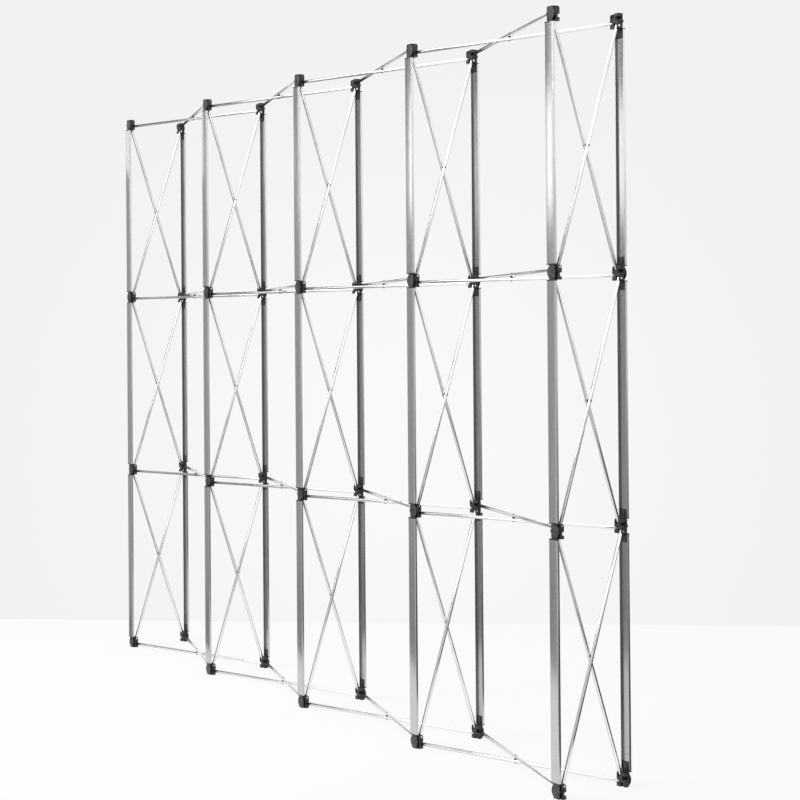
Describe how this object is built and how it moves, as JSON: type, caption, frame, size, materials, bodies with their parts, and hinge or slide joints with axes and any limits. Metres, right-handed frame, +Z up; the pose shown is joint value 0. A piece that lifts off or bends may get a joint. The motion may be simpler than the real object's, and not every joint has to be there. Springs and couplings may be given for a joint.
{
  "type": "pop up display backwall",
  "caption": "Free-standing pop-up display frame: crossed tubes on moulded hubs, front and rear, held open by upright bars that pull off.",
  "frame": {"origin": "on the floor, under the middle of the frame", "axes": "+X along the wall to the right as seen from the front, +Y from the front bars to the rear bars, +Z up"},
  "size_m": [2.962, 0.264, 2.232],
  "materials": {
    "black_plastic": "moulded black plastic, fine matt grain",
    "tube_metal": "drawn tube, bright satin",
    "bar_metal": "extruded channel, satin with fine lines along its length",
    "pin_steel": "bright pin heads",
    "rivet_steel": "plain steel rivets",
    "spacer_plastic": "black plastic washers",
    "magnet_metal": "nickel plated magnets"
  },
  "bodies": {
    "frame": {"front_hubs_level_1": "black_plastic", "front_hubs_level_2": "black_plastic", "front_hubs_level_3": "black_plastic", "front_hubs_level_4": "black_plastic", "rear_hubs_level_1": "black_plastic", "rear_hubs_level_2": "black_plastic", "rear_hubs_level_3": "black_plastic", "rear_hubs_level_4": "black_plastic", "upright_tubes_a_row_1": "tube_metal", "upright_tubes_a_row_2": "tube_metal", "upright_tubes_a_row_3": "tube_metal", "upright_tubes_b_row_1": "tube_metal", "upright_tubes_b_row_2": "tube_metal", "upright_tubes_b_row_3": "tube_metal", "cross_tubes_a_level_1": "tube_metal", "cross_tubes_a_level_2": "tube_metal", "cross_tubes_a_level_3": "tube_metal", "cross_tubes_a_level_4": "tube_metal", "cross_tubes_b_level_1": "tube_metal", "cross_tubes_b_level_2": "tube_metal", "cross_tubes_b_level_3": "tube_metal", "cross_tubes_b_level_4": "tube_metal", "upright_tube_pins": "pin_steel", "cross_tube_pins": "pin_steel", "upright_centre_rivets": "rivet_steel", "cross_centre_rivets": "rivet_steel", "upright_spacers": "spacer_plastic", "cross_spacers": "spacer_plastic", "front_hub_magnets": "magnet_metal", "rear_hub_magnets": "magnet_metal"},
    "front_bar_c1_r1": {"front_bar_c1_r1": "bar_metal"},
    "front_bar_c1_r2": {"front_bar_c1_r2": "bar_metal"},
    "front_bar_c1_r3": {"front_bar_c1_r3": "bar_metal"},
    "front_bar_c2_r1": {"front_bar_c2_r1": "bar_metal"},
    "front_bar_c2_r2": {"front_bar_c2_r2": "bar_metal"},
    "front_bar_c2_r3": {"front_bar_c2_r3": "bar_metal"},
    "front_bar_c3_r1": {"front_bar_c3_r1": "bar_metal"},
    "front_bar_c3_r2": {"front_bar_c3_r2": "bar_metal"},
    "front_bar_c3_r3": {"front_bar_c3_r3": "bar_metal"},
    "front_bar_c4_r1": {"front_bar_c4_r1": "bar_metal"},
    "front_bar_c4_r2": {"front_bar_c4_r2": "bar_metal"},
    "front_bar_c4_r3": {"front_bar_c4_r3": "bar_metal"},
    "front_bar_c5_r1": {"front_bar_c5_r1": "bar_metal"},
    "front_bar_c5_r2": {"front_bar_c5_r2": "bar_metal"},
    "front_bar_c5_r3": {"front_bar_c5_r3": "bar_metal"},
    "rear_bar_c1_r1": {"rear_bar_c1_r1": "bar_metal"},
    "rear_bar_c1_r2": {"rear_bar_c1_r2": "bar_metal"},
    "rear_bar_c1_r3": {"rear_bar_c1_r3": "bar_metal"},
    "rear_bar_c2_r1": {"rear_bar_c2_r1": "bar_metal"},
    "rear_bar_c2_r2": {"rear_bar_c2_r2": "bar_metal"},
    "rear_bar_c2_r3": {"rear_bar_c2_r3": "bar_metal"},
    "rear_bar_c3_r1": {"rear_bar_c3_r1": "bar_metal"},
    "rear_bar_c3_r2": {"rear_bar_c3_r2": "bar_metal"},
    "rear_bar_c3_r3": {"rear_bar_c3_r3": "bar_metal"},
    "rear_bar_c4_r1": {"rear_bar_c4_r1": "bar_metal"},
    "rear_bar_c4_r2": {"rear_bar_c4_r2": "bar_metal"},
    "rear_bar_c4_r3": {"rear_bar_c4_r3": "bar_metal"},
    "rear_bar_c5_r1": {"rear_bar_c5_r1": "bar_metal"},
    "rear_bar_c5_r2": {"rear_bar_c5_r2": "bar_metal"},
    "rear_bar_c5_r3": {"rear_bar_c5_r3": "bar_metal"}
  },
  "joints": [
    {"name": "front_bar_c1_r1_pull", "type": "slide", "parent": "frame", "child": "front_bar_c1_r1", "axis": [0, -1, 0], "range_m": [0, 0.12]},
    {"name": "front_bar_c1_r2_pull", "type": "slide", "parent": "frame", "child": "front_bar_c1_r2", "axis": [0, -1, 0], "range_m": [0, 0.12]},
    {"name": "front_bar_c1_r3_pull", "type": "slide", "parent": "frame", "child": "front_bar_c1_r3", "axis": [0, -1, 0], "range_m": [0, 0.12]},
    {"name": "front_bar_c2_r1_pull", "type": "slide", "parent": "frame", "child": "front_bar_c2_r1", "axis": [0, -1, 0], "range_m": [0, 0.12]},
    {"name": "front_bar_c2_r2_pull", "type": "slide", "parent": "frame", "child": "front_bar_c2_r2", "axis": [0, -1, 0], "range_m": [0, 0.12]},
    {"name": "front_bar_c2_r3_pull", "type": "slide", "parent": "frame", "child": "front_bar_c2_r3", "axis": [0, -1, 0], "range_m": [0, 0.12]},
    {"name": "front_bar_c3_r1_pull", "type": "slide", "parent": "frame", "child": "front_bar_c3_r1", "axis": [0, -1, 0], "range_m": [0, 0.12]},
    {"name": "front_bar_c3_r2_pull", "type": "slide", "parent": "frame", "child": "front_bar_c3_r2", "axis": [0, -1, 0], "range_m": [0, 0.12]},
    {"name": "front_bar_c3_r3_pull", "type": "slide", "parent": "frame", "child": "front_bar_c3_r3", "axis": [0, -1, 0], "range_m": [0, 0.12]},
    {"name": "front_bar_c4_r1_pull", "type": "slide", "parent": "frame", "child": "front_bar_c4_r1", "axis": [0, -1, 0], "range_m": [0, 0.12]},
    {"name": "front_bar_c4_r2_pull", "type": "slide", "parent": "frame", "child": "front_bar_c4_r2", "axis": [0, -1, 0], "range_m": [0, 0.12]},
    {"name": "front_bar_c4_r3_pull", "type": "slide", "parent": "frame", "child": "front_bar_c4_r3", "axis": [0, -1, 0], "range_m": [0, 0.12]},
    {"name": "front_bar_c5_r1_pull", "type": "slide", "parent": "frame", "child": "front_bar_c5_r1", "axis": [0, -1, 0], "range_m": [0, 0.12]},
    {"name": "front_bar_c5_r2_pull", "type": "slide", "parent": "frame", "child": "front_bar_c5_r2", "axis": [0, -1, 0], "range_m": [0, 0.12]},
    {"name": "front_bar_c5_r3_pull", "type": "slide", "parent": "frame", "child": "front_bar_c5_r3", "axis": [0, -1, 0], "range_m": [0, 0.12]},
    {"name": "rear_bar_c1_r1_pull", "type": "slide", "parent": "frame", "child": "rear_bar_c1_r1", "axis": [0, 1, 0], "range_m": [0, 0.12]},
    {"name": "rear_bar_c1_r2_pull", "type": "slide", "parent": "frame", "child": "rear_bar_c1_r2", "axis": [0, 1, 0], "range_m": [0, 0.12]},
    {"name": "rear_bar_c1_r3_pull", "type": "slide", "parent": "frame", "child": "rear_bar_c1_r3", "axis": [0, 1, 0], "range_m": [0, 0.12]},
    {"name": "rear_bar_c2_r1_pull", "type": "slide", "parent": "frame", "child": "rear_bar_c2_r1", "axis": [0, 1, 0], "range_m": [0, 0.12]},
    {"name": "rear_bar_c2_r2_pull", "type": "slide", "parent": "frame", "child": "rear_bar_c2_r2", "axis": [0, 1, 0], "range_m": [0, 0.12]},
    {"name": "rear_bar_c2_r3_pull", "type": "slide", "parent": "frame", "child": "rear_bar_c2_r3", "axis": [0, 1, 0], "range_m": [0, 0.12]},
    {"name": "rear_bar_c3_r1_pull", "type": "slide", "parent": "frame", "child": "rear_bar_c3_r1", "axis": [0, 1, 0], "range_m": [0, 0.12]},
    {"name": "rear_bar_c3_r2_pull", "type": "slide", "parent": "frame", "child": "rear_bar_c3_r2", "axis": [0, 1, 0], "range_m": [0, 0.12]},
    {"name": "rear_bar_c3_r3_pull", "type": "slide", "parent": "frame", "child": "rear_bar_c3_r3", "axis": [0, 1, 0], "range_m": [0, 0.12]},
    {"name": "rear_bar_c4_r1_pull", "type": "slide", "parent": "frame", "child": "rear_bar_c4_r1", "axis": [0, 1, 0], "range_m": [0, 0.12]},
    {"name": "rear_bar_c4_r2_pull", "type": "slide", "parent": "frame", "child": "rear_bar_c4_r2", "axis": [0, 1, 0], "range_m": [0, 0.12]},
    {"name": "rear_bar_c4_r3_pull", "type": "slide", "parent": "frame", "child": "rear_bar_c4_r3", "axis": [0, 1, 0], "range_m": [0, 0.12]},
    {"name": "rear_bar_c5_r1_pull", "type": "slide", "parent": "frame", "child": "rear_bar_c5_r1", "axis": [0, 1, 0], "range_m": [0, 0.12]},
    {"name": "rear_bar_c5_r2_pull", "type": "slide", "parent": "frame", "child": "rear_bar_c5_r2", "axis": [0, 1, 0], "range_m": [0, 0.12]},
    {"name": "rear_bar_c5_r3_pull", "type": "slide", "parent": "frame", "child": "rear_bar_c5_r3", "axis": [0, 1, 0], "range_m": [0, 0.12]}
  ]
}
